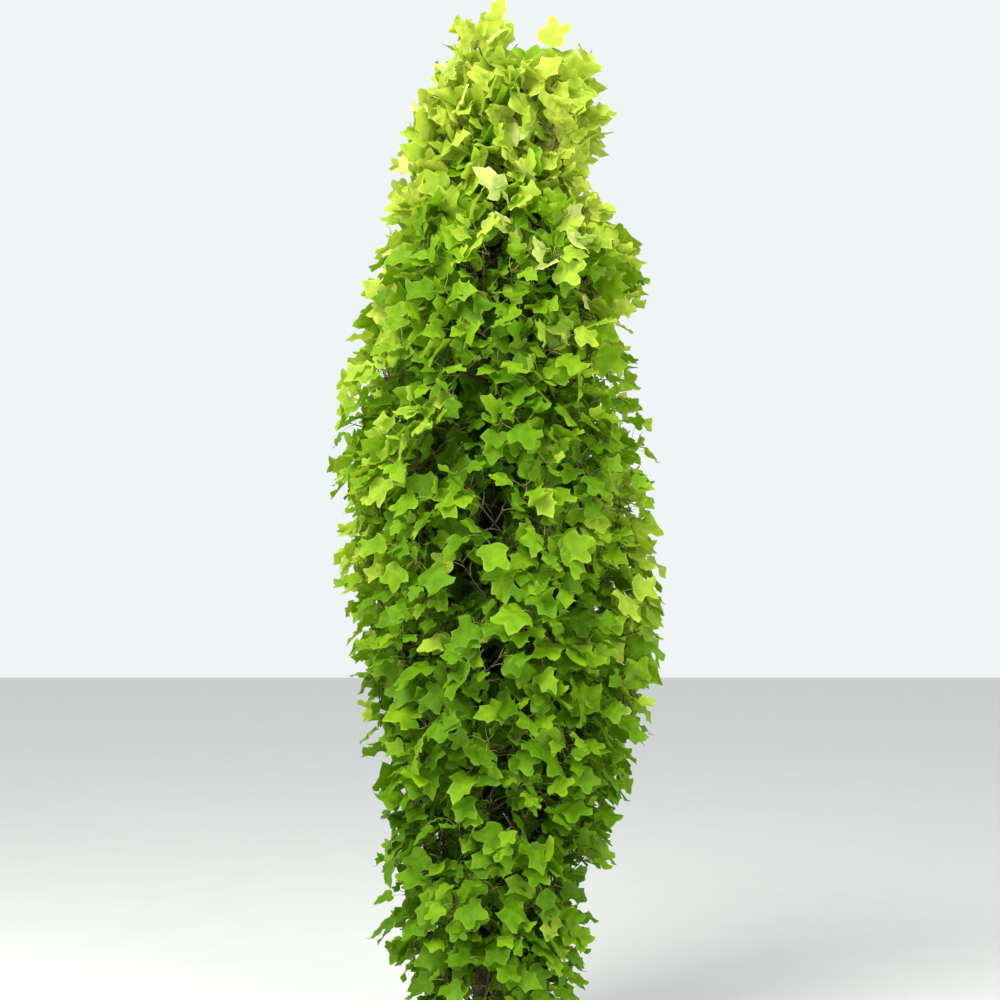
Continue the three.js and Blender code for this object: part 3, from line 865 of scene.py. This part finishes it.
def apply_modifier(piece, kind, **settings):
    modifier = piece.modifiers.new(kind.title(), kind)
    for key, value in settings.items():
        setattr(modifier, key, value)
    activate(piece)
    bpy.ops.object.modifier_apply(modifier=modifier.name)


def add_relief(piece, name, size, detail, height):
    """Raises and sinks the surface of a piece by a cloudy pattern."""
    texture = bpy.data.textures.new(name, "CLOUDS")
    texture.noise_scale = size
    texture.noise_depth = detail
    apply_modifier(piece, "DISPLACE", texture=texture, strength=height, mid_level=0.5)


def resize_all(piece, value):
    start_edit(piece)
    bpy.ops.transform.resize(value=value, center_override=(0, 0, 0))
    end_edit()


def pull_flare(trunk, turn):
    """Pulls one root lobe out of the trunk's foot."""
    start_edit(trunk, "DESELECT")
    end_edit()
    out = outwards(turn)
    for vertex in trunk.data.vertices:
        level = Vector((vertex.co.x, vertex.co.y, 0)).normalized()
        vertex.select = vertex.co.z < LOBE_HEIGHT and level.dot(out) > LOBE_COSINE
    bpy.context.tool_settings.mesh_select_mode = (True, False, False)
    bpy.ops.object.mode_set(mode="EDIT")
    bpy.ops.transform.translate(
        value=out * FLARE_REACH * (1 - FLARE_BETWEEN),
        use_proportional_edit=True,
        proportional_edit_falloff="SHARP",
        proportional_size=FLARE_HEIGHT,
    )
    end_edit()


def make_trunk():
    """The trunk and its leader, with root lobes, drawn-out bark ridges and a flat cut at the ground."""
    heights = [-BURIED, -BURIED / 2]
    for k in range(TRUNK_RINGS + 1):
        heights.append(LEADER_TOP * (k / TRUNK_RINGS) ** RING_LEAN)
    points = [trunk_middle(z) for z in heights]
    radii = [flared_radius(z) for z in heights]
    trunk = extruded_limb("trunk_bark", points, radii, TRUNK_SIDES)
    for k in range(FLARE_LOBES):
        pull_flare(trunk, 2 * pi * k / FLARE_LOBES)
    apply_modifier(trunk, "SUBSURF", levels=2, render_levels=2)
    resize_all(trunk, (1, 1, RIDGE_PRESS))
    add_relief(trunk, "bark_ridges", *RIDGES)
    resize_all(trunk, (1, 1, 1 / RIDGE_PRESS))
    start_edit(trunk)
    bpy.ops.mesh.bisect(plane_co=(0, 0, GROUND_ROOM), plane_no=(0, 0, 1), clear_inner=True, use_fill=True)
    end_edit()
    bpy.ops.object.shade_smooth_by_angle(angle=BARK_CREASE)
    return trunk


def make_boughs(limbs):
    """All boughs and their stems as one mesh, each with a collar at the trunk and knotty bark."""
    made = []
    for k, limb in enumerate(limbs):
        radii = list(limb.radii)
        radii[0] *= COLLAR
        radii[1] *= mix(1, COLLAR, COLLAR_FADE)
        made.append(extruded_limb(f"bough_{k}", limb.points, radii, BOUGH_SIDES))
    activate(made[0])
    for piece in made:
        piece.select_set(True)
    bpy.ops.object.join()
    boughs = bpy.context.object
    rename(boughs, "boughs")
    apply_modifier(boughs, "SUBSURF", levels=1, render_levels=1)
    add_relief(boughs, "bough_knots", *KNOTS)
    activate(boughs)
    bpy.ops.object.shade_smooth()
    return boughs


class Batch:
    """Many small shapes that become one mesh."""

    def __init__(self):
        self.corners = []
        self.faces = []
        self.marks = []
        self.count = 0

    def add(self, corners, faces, marks=None):
        self.corners.append(corners)
        self.faces += [tuple(self.count + i for i in face) for face in faces]
        self.count += len(corners)
        if marks is not None:
            self.marks.append(marks)

    def add_uv_maps(self, mesh):
        """Two UV maps: the place on the blade, and the nearness to its rim."""
        marks = np.concatenate(self.marks)
        corner_of = np.empty(len(mesh.loops), dtype=np.int32)
        mesh.loops.foreach_get("vertex_index", corner_of)
        for k, kind in enumerate(("blade", "rim")):
            layer = mesh.uv_layers.new(name=kind)
            values = marks[corner_of, 2 * k : 2 * k + 2]
            layer.data.foreach_set("uv", values.astype(np.float32).ravel())

    def piece(self, name):
        mesh = bpy.data.meshes.new(name)
        mesh.from_pydata(np.concatenate(self.corners).tolist(), [], self.faces)
        mesh.polygons.foreach_set("use_smooth", np.ones(len(mesh.polygons), dtype=bool))
        if self.marks:
            self.add_uv_maps(mesh)
        mesh.update()
        return put_in_scene(name, mesh)


def across_line(line):
    """Two directions across a line at each of its points."""
    reference = np.zeros(3)
    reference[int(np.abs(line[-1] - line[0]).argmin())] = 1
    tangents = np.gradient(line, axis=0)
    tangents /= np.linalg.norm(tangents, axis=1)[:, None]
    first = np.cross(tangents, reference)
    first /= np.linalg.norm(first, axis=1)[:, None]
    return first, np.cross(tangents, first)


def tube(points, radii, sides):
    """Corners and faces of a tapering tube with closed ends."""
    line = np.array([tuple(p) for p in points])
    first, second = across_line(line)
    turns = np.arange(sides) * 2 * pi / sides
    ring = first[:, None] * np.cos(turns)[None, :, None] + second[:, None] * np.sin(turns)[None, :, None]
    corners = (line[:, None] + ring * np.array(radii)[:, None, None]).reshape(-1, 3)
    faces = []
    for k in range(len(line) - 1):
        for i in range(sides):
            a = k * sides + i
            b = k * sides + (i + 1) % sides
            faces.append((a, b, b + sides, a + sides))
    last = (len(line) - 1) * sides
    faces.append(tuple(range(sides))[::-1])
    faces.append(tuple(last + i for i in range(sides)))
    return corners, faces


def tubes_piece(name, limbs, sides):
    """Many limbs as tubes in one mesh."""
    batch = Batch()
    for limb in limbs:
        batch.add(*tube(limb.points, limb.radii, sides))
    return batch.piece(name)


def blade_faces(rows, starts, rings):
    """Faces from the midrib to each half's rim, over one or two rings of corners."""
    last = rows + 1
    faces = []
    for sign, start in starts.items():
        made = [(0, start, 1)]
        for k in range(rows - 1):
            inner = start + rings * k
            made.append((k + 1, inner, inner + rings, k + 2))
            if rings == 2:
                made.append((inner, inner + 1, inner + 3, inner + 2))
        inner = start + rings * (rows - 1)
        made.append((last - 1, inner, last))
        if rings == 2:
            made.append((0, start + 1, start))
            made.append((inner, inner + 1, last))
        faces += made if sign > 0 else [face[::-1] for face in made]
    return faces


def blade_shape(half, end, width, fold, droop, curl, ripple, plain=False):
    """A leaf blade of length one: corners, faces, and each corner's place and nearness to the rim."""
    flat = [(0, 0)] + [(0, root) for _, _, root in half] + [(0, end)]
    rim = [1] + [0] * len(half) + [1]
    shares = (1,) if plain else (MID_RING, 1)
    starts = {}
    for sign in (1, -1):
        starts[sign] = len(flat)
        for x, y, root in half:
            for share in shares:
                flat.append((sign * x * width * share, mix(root, y, share)))
                rim.append(int(share == 1))
    x, y = np.array(flat).T
    rise = fold * np.abs(x) - droop * y**2 - curl * x**2
    rise += ripple * np.sin(RIPPLES_ALONG * y + RIPPLES_ACROSS * x) * np.abs(x) * RIPPLE_GROWTH
    corners = np.stack([x, y, rise], axis=1)
    marks = np.stack([x + 0.5, y, np.array(rim), np.zeros(len(rim))], axis=1)
    return corners, blade_faces(len(half), starts, len(shares)), marks


def add_leaf(batch, stalks, leaf, shapes):
    """A leaf's blade, twisted and laid in its place, and its stalk."""
    flat, faces, marks = shapes[leaf.blade]
    corners = flat.copy()
    corners[:, 2] += leaf.twist * flat[:, 0] * flat[:, 1]
    directions = np.array([leaf.across, leaf.along, leaf.facing]) * leaf.length
    batch.add(corners @ directions + np.array(leaf.base), faces, marks)
    bend = leaf.base - leaf.along * STALK_BEND * (leaf.base - leaf.root).length
    points = bezier(leaf.root, bend, leaf.base, STALK_STEPS)
    radii = [STALK_RADIUS * STALK_FOOT] + [STALK_RADIUS] * STALK_STEPS
    stalks.add(*tube(points, radii, STALK_SIDES))


def add_bud(buds, twig):
    """The bud at the tip of a twig."""
    heading = twig.heading(len(twig.points) - 1)
    points = [twig.points[-1] + heading * reach for reach, _ in BUD]
    buds.add(*tube(points, [radius for _, radius in BUD], BUD_SIDES))


# Growth

def grow_limbs():
    """Boughs with their stems, lesser boughs, and the borders of each mass."""
    places = spiral(LOWEST_MASS, HIGHEST_MASS, BOUGH_AREA, FIRST_BOUGH_TURN)
    middles = [crown_point(z, turn, MASS_REACH) for z, turn in places]
    middles.append(Vector((CROWN_X, 0, TOP_MASS_MIDDLE)))
    borders = [borders_of(middle, middles) for middle in middles]
    boughs = [bough_limb(*place, borders[k], k) for k, place in enumerate(places)]
    lesser_places = spiral(LOWEST_MASS, HIGHEST_MASS, LESSER_AREA, LESSER_FIRST_TURN)
    return boughs, [lesser_bough(*place) for place in lesser_places], borders


def grow_site_twigs(wood, borders):
    """The frame's own twigs, each from the wood of its own mass."""
    twigs = []
    for k, (z, turn) in enumerate(spiral(LOWEST_SITE, HIGHEST_SITE, SITE_AREA, 0)):
        depth = SITE_DEPTHS[k % len(SITE_DEPTHS)]
        at = crown_point(z, turn, TIP_SHARE * depth)
        mass = next(m for m, border in enumerate(borders) if lies_inside(at, border))
        twigs.append(twig_to(z, turn, depth, wood, TWIG_RISE, 0, TWIG_RADIUS, k, mass))
    return twigs


def grow_layer(twigs, wood, area, first_turn, depths, seed):
    """Finer twigs over the whole crown, which swells and sinks by turns."""
    for k, (z, turn) in enumerate(spiral(LOWEST_FINE_SITE, HIGHEST_SITE, area, first_turn)):
        roll = dice(seed + SITE_SEEDS * k)
        z += roll(-SITE_SHIFT, SITE_SHIFT)
        turn += roll(-SITE_SHIFT, SITE_SHIFT) / crown_reach(z, turn)
        swell = noise.noise(crown_point(z, turn, 1) / SWELL_SIZE)
        depth = depths[k % len(depths)] + SWELL_DEPTH * min(swell, 0) + low_spread(z)
        twigs.append(twig_to(z, turn, depth, wood, FINE_RISE, NEARNESS, FINE_RADIUS, seed + k))


def leaf_middles(twigs):
    """The middles of the leaves of all twigs near the top."""
    found = []
    for k, twig in enumerate(twigs):
        if twig.points[-1].z > SPUR_HEIGHT - SPUR_LOOK:
            found += [tuple(leaf.middle()) for _, leaf in leaves_of(twig, k + 1)]
    return np.array(found)


def is_covered(p, turn, middles):
    """Whether a leaf hides a place on a twig from straight outside."""
    gaps = middles - np.array(p)
    ahead = gaps @ np.array(outwards(turn))
    aside = np.sqrt(np.maximum((gaps**2).sum(axis=1) - ahead**2, 0))
    return ((ahead > 0) & (aside < SPUR_COVER)).any()


def grow_spurs(twigs):
    """Short spurs with a few leaves, where a twig near the top would else show bare."""
    middles = leaf_middles(twigs)
    feet = []
    for twig in list(twigs):
        for p in twig.points[1:-1]:
            if p.z < SPUR_HEIGHT or reach_taken([p]) < SPUR_DEPTH or lies_in_gap([p]):
                continue
            turn = turn_of(p)
            if is_covered(p, turn, middles) or any((p - foot).length < SPUR_SPACING for foot in feet):
                continue
            feet.append(p)
            tip = p + outwards(turn) * SPUR_OUT + UP * SPUR_UP
            spur = twig_between(p, tip, FINE_RADIUS, turn, len(twigs))
            spur.depth = OUTER_DEPTH
            spur.most = SPUR_LEAVES
            twigs.append(spur)


def grow_twigs(boughs, lesser, borders):
    """The frame's own twigs, the finer ones between them, the top shoots and the spurs."""
    wood = Wood()
    wood.add(trunk_part(*LEADER_PART, mass=len(boughs)))
    for limb in boughs:
        wood.add(limb, first=BOUGH_STEPS + 1)
    twigs = grow_site_twigs(wood, borders)
    for limb in lesser:
        wood.add(limb, first=LESSER_FIRST_PLACE)
    for twig in twigs:
        wood.add(twig)
    wood.add(trunk_part(*LOW_PART), first=0)
    for layer in FINE_LAYERS:
        grow_layer(twigs, wood, *layer)
    for shoot in TOP_SHOOTS:
        twigs.append(top_shoot(*shoot, wood, len(twigs) + 1))
    grow_spurs(twigs)
    return twigs


def make_foliage(twigs):
    """Leaves joined by colour, their stalks and the buds. Leaves deep in the crown have fewer faces."""
    full = [blade_shape(*blade) for blade in BLADES]
    plain = [blade_shape(*blade, plain=True) for blade in BLADES]
    leaves = {name: Batch() for name in LEAF_COLOURS}
    stalks = Batch()
    buds = Batch()
    for k, twig in enumerate(twigs):
        roll = dice(COLOUR_SEED + k)
        tone = spray_tone(twig, roll)
        shapes = plain if twig.depth < DEEP_SHARE else full
        for place, leaf in leaves_of(twig, k + 1):
            add_leaf(leaves[leaf_colour(twig, tone, place, roll)], stalks, leaf, shapes)
        add_bud(buds, twig)
    return leaves, stalks, buds


# Finishes

def operator(operation, reflected=False):
    """An operator of a term, which adds a Math node."""

    def apply(term, other):
        values = (other, term) if reflected else (term, other)
        return term.finish.math(operation, *values)

    return apply


class Term:
    """A node socket in an expression."""

    def __init__(self, finish, socket):
        self.finish = finish
        self.socket = socket

    __add__ = __radd__ = operator("ADD")
    __sub__ = operator("SUBTRACT")
    __rsub__ = operator("SUBTRACT", reflected=True)
    __mul__ = __rmul__ = operator("MULTIPLY")
    __truediv__ = operator("DIVIDE")
    __rtruediv__ = operator("DIVIDE", reflected=True)

    def __abs__(self):
        return self.finish.math("ABSOLUTE", self)


class Finish:
    """A material that is built one node at a time."""

    def __init__(self, name):
        self.material = bpy.data.materials.new(name)
        self.material.use_nodes = True
        self.material.node_tree.nodes.clear()

    def node(self, kind, settings, inputs, output=0):
        """A node with its settings and its sockets' values or links. Gives one of its outputs."""
        made = self.material.node_tree.nodes.new(kind)
        for key, value in settings.items():
            setattr(made, key, value)
        for key, value in inputs.items():
            if isinstance(value, Term):
                self.material.node_tree.links.new(value.socket, made.inputs[key])
            else:
                made.inputs[key].default_value = value
        return Term(self, made.outputs[output]) if made.outputs else None

    def math(self, operation, *values):
        return self.node("ShaderNodeMath", {"operation": operation}, dict(enumerate(values)))

    def ramp(self, factor, stops):
        """A soft step from the first value to the second between two places."""
        settings = {"interpolation_type": "SMOOTHSTEP"}
        (start, low), (end, high) = stops
        values = {"Value": factor, "From Min": start, "From Max": end, "To Min": low, "To Max": high}
        return self.node("ShaderNodeMapRange", settings, values)

    def blend(self, factor, first, second):
        """A colour between two colours."""
        inputs = {"Factor": factor, 6: first, 7: second}
        return self.node("ShaderNodeMix", {"data_type": "RGBA"}, inputs, output=2)

    def noise(self, vector, scale, detail=3.0, roughness=0.55):
        inputs = {"Vector": vector, "Scale": scale, "Detail": detail, "Roughness": roughness}
        return self.node("ShaderNodeTexNoise", {}, inputs)

    def bump(self, height, distance, strength=1.0):
        inputs = {"Height": height, "Distance": distance, "Strength": strength}
        return self.node("ShaderNodeBump", {}, inputs)

    def place(self, stretch=(1, 1, 1)):
        """The place on the object, stretched along its axes."""
        at = self.node("ShaderNodeTexCoord", {}, {}, output="Object")
        return self.node("ShaderNodeMapping", {}, {"Vector": at, "Scale": stretch})

    def mark(self, kind, axis):
        """One of the two numbers of a UV map."""
        at = self.node("ShaderNodeUVMap", {"uv_map": kind}, {})
        return self.node("ShaderNodeSeparateXYZ", {}, {"Vector": at}, output=axis)

    def surface(self, **inputs):
        """The main shader, whose sockets are named with underscores for spaces."""
        named = {key.replace("_", " "): value for key, value in inputs.items()}
        return self.node("ShaderNodeBsdfPrincipled", {}, named)

    def done(self, shader):
        self.node("ShaderNodeOutputMaterial", {}, {"Surface": shader})
        return self.material


def colour(base, factors=(1, 1, 1), lift=(0, 0, 0)):
    """A colour for a socket, with its parts multiplied and lifted, up to full."""
    return (*(min(part * factor + up, 1) for part, factor, up in zip(base, factors, lift)), 1.0)


def leaf_veins(finish):
    """The midrib, and side veins that slant up from it and fade towards the rim."""
    off = abs(finish.mark("blade", "X") - 0.5)
    slant = (finish.mark("blade", "Y") - off * VEIN_SLANT) / VEIN_SPACING
    to_vein = finish.math("PINGPONG", slant, 0.5)
    side_veins = finish.ramp(to_vein, SIDE_VEIN) * finish.ramp(off, SIDE_VEIN_FADE)
    return finish.math("MAXIMUM", finish.ramp(off, MIDRIB), side_veins)


def leaf_finish(name, base):
    """A fresh leaf: pale veins, a painted highlight along the rim, soft mottling, and light coming
    through the blade.
    """
    finish = Finish(name)
    veins = leaf_veins(finish)
    # painted highlight: lighter towards the rim
    rim_highlight = finish.ramp(finish.mark("rim", "X"), ((0.0, 0), (1.0, 1)))
    mottle = finish.noise(finish.place(), MOTTLE_SCALE)
    vein = colour(base, VEIN_SHADE, VEIN_LIFT)
    body = finish.blend(finish.ramp(mottle, MOTTLE), colour(base, DARK_SHADE), colour(base, LIGHT_SHADE))
    body = finish.blend(rim_highlight * RIM_HIGHLIGHT_SHOWS, body, vein)
    body = finish.blend(veins * VEIN_SHOWS, body, vein)
    height = finish.noise(finish.place(), GRAIN_SCALE, detail=2.0) * GRAIN_HEIGHT - veins
    surface = finish.surface(
        Base_Color=body,
        Roughness=0.42 + mottle * 0.2,
        Specular_IOR_Level=LEAF_SHINE,
        Normal=finish.bump(height, *LEAF_BUMP),
    )
    glow = finish.node("ShaderNodeBsdfTranslucent", {}, {"Color": colour(base, GLOW_SHADE)})
    return finish.done(finish.node("ShaderNodeMixShader", {}, {0: LEAF_GLOW, 1: surface, 2: glow}))


def bark_finish(name, dark, middle, pale):
    """Bark: streaks along the limb, grey patches and small pale pores."""
    finish = Finish(name)
    streaks = finish.noise(finish.place((1, 1, BARK_STRETCH)), BARK_SCALE, detail=6.0, roughness=0.65)
    patches = finish.noise(finish.place(), PATCH_SCALE)
    pore_inputs = {"Vector": finish.place((1, 1, PORE_STRETCH)), "Scale": PORE_SCALE}
    pores = finish.node("ShaderNodeTexVoronoi", {"feature": "F1"}, pore_inputs)
    dots = finish.ramp(pores, PORES) * finish.ramp(patches, PORES_IN_PATCHES)
    body = finish.blend(finish.ramp(streaks, BARK_STREAKS), colour(dark), colour(middle))
    body = finish.blend(finish.ramp(patches, PATCHES), body, colour(pale))
    body = finish.blend(dots * PORE_SHOWS, body, colour(pale))
    normal = finish.bump(streaks + dots * PORE_HEIGHT, BARK_BUMP)
    return finish.done(finish.surface(Base_Color=body, Roughness=0.95 - streaks * 0.25, Normal=normal))


def skin_finish(name, base, tint):
    """Soft green skin, redder in patches."""
    finish = Finish(name)
    patches = finish.noise(finish.place(), SKIN_SCALE)
    body = finish.blend(finish.ramp(patches, SKIN_PATCHES), colour(base), colour(tint))
    normal = finish.bump(finish.noise(finish.place(), SKIN_GRAIN_SCALE), SKIN_BUMP)
    return finish.done(finish.surface(Base_Color=body, Roughness=0.42 + patches * 0.2, Normal=normal))


def floor_finish():
    finish = Finish("floor")
    speckle = finish.noise(finish.place(), 3.0)
    body = finish.blend(speckle, *map(colour, FLOOR_COLOURS))
    return finish.done(finish.surface(Base_Color=body, Roughness=0.9))


# Stage

def make_floor():
    deselect_all()
    bpy.ops.mesh.primitive_plane_add(size=FLOOR_SIZE, location=(0, 0, 0))
    floor = bpy.context.object
    floor.name = "floor"
    floor.data.materials.append(floor_finish())


def make_camera():
    """A level camera at eye height, whose frame is the photo's."""
    data = bpy.data.cameras.new("camera")
    camera = put_in_scene("camera", data)
    width = PIXEL * PHOTO_SIZE
    middle_z = (PHOTO_GROUND_Y - PHOTO_SIZE / 2) * PIXEL
    camera.location = EYE
    camera.rotation_euler = (radians(90), 0, 0)
    data.sensor_width = SENSOR
    data.lens = SENSOR * CAMERA_DISTANCE / width
    data.shift_y = (middle_z - CAMERA_HEIGHT) / width
    bpy.context.scene.camera = camera


def make_area_light(name, place, aim, size, power, tint):
    data = bpy.data.lights.new(name, "AREA")
    data.shape = "DISK"
    data.size = size
    data.energy = power
    data.color = tint
    light = put_in_scene(name, data)
    light.location = place
    light.rotation_euler = (Vector(aim) - Vector(place)).to_track_quat("-Z", "Y").to_euler()


def make_lights():
    world = bpy.data.worlds.new("sky")
    world.use_nodes = True
    background = world.node_tree.nodes["Background"]
    background.inputs["Color"].default_value = SKY_COLOUR
    background.inputs["Strength"].default_value = SKY_STRENGTH
    bpy.context.scene.world = world
    for name, light in LIGHTS.items():
        make_area_light(name, *light)
    bpy.context.scene.view_settings.view_transform = "Standard"


def dress(piece, material, replaced=()):
    piece.data.materials.clear()
    piece.data.materials.append(material)
    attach(piece, "root")
    if replaced:
        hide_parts(*replaced)


def build_tree():
    nodes = sorted(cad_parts)
    masses = [node for node in nodes if node.startswith("foliage")]
    bough_nodes = [node for node in nodes if node.startswith("bough")]
    boughs, lesser, borders = grow_limbs()
    twigs = grow_twigs(boughs, lesser, borders)
    bark = {name: bark_finish(name, *colours) for name, colours in BARK_COLOURS.items()}
    skin = {name: skin_finish(name, *colours) for name, colours in SKIN_COLOURS.items()}
    dress(make_trunk(), bark["trunk_bark"], ["trunk"])
    dress(make_boughs(boughs), bark["bough_bark"], bough_nodes)
    dress(tubes_piece("lesser_boughs", lesser, LESSER_SIDES), bark["bough_bark"])
    dress(tubes_piece("twigs", twigs, TWIG_SIDES), bark["twig_bark"], masses)
    leaves, stalks, buds = make_foliage(twigs)
    for name, batch in leaves.items():
        green = leaf_finish(f"leaf_{name}", LEAF_COLOURS[name])
        dress(batch.piece(f"leaves_{name}"), green, masses)
    dress(stalks.piece("leaf_stalks"), skin["stalk_skin"])
    dress(buds.piece("buds"), skin["bud_skin"])


make_camera()
make_lights()
make_floor()
build_tree()
